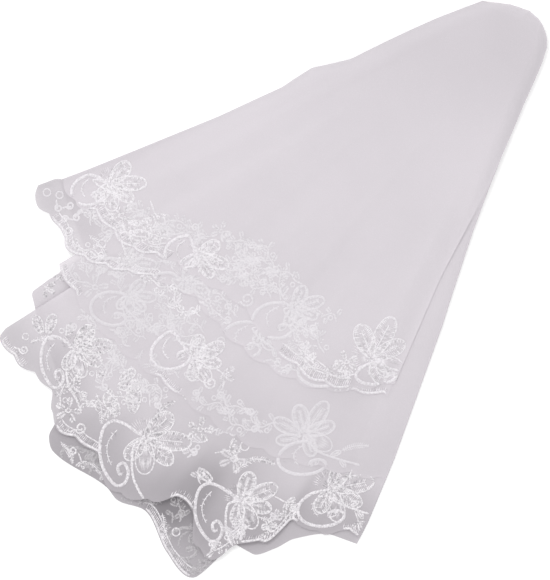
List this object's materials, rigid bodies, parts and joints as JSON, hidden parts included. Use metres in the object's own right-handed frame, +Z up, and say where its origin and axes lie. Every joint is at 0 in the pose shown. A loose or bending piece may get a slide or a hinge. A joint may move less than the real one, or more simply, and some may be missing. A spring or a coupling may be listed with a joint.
{
  "type": "bridal veil",
  "caption": "Sheer tulle bridal veil with a wide embroidered lace edging, folded into a fan with a rounded tip and laid flat.",
  "frame": {"origin": "middle of the veil's box in plan, on the surface that it lies on", "axes": "+Z up, away from that surface; +Y towards the picture's top and the veil's rounded tip; +X towards its right"},
  "size_m": [0.6306, 0.6653, 0.0243],
  "materials": {
    "tulle": "soft sheer net",
    "lace": "embroidered net",
    "thread": "satin thread"
  },
  "bodies": {
    "root": {"tulle_back": "tulle", "lace_back": "lace", "hidden_folds": "tulle", "tulle_front": "tulle", "lace_front": "lace", "embroidery_front_1": "thread", "embroidery_front_2": "thread", "embroidery_front_3": "thread", "embroidery_front_4": "thread", "tulle_middle": "tulle", "lace_middle": "lace", "embroidery_middle_1": "thread", "embroidery_middle_2": "thread", "embroidery_middle_3": "thread", "tulle_second": "tulle", "lace_second": "lace", "tulle_top": "tulle", "lace_top": "lace", "embroidery_top_1": "thread", "embroidery_top_2": "thread", "embroidery_top_3": "thread", "embroidery_top_4": "thread"}
  },
  "joints": []
}
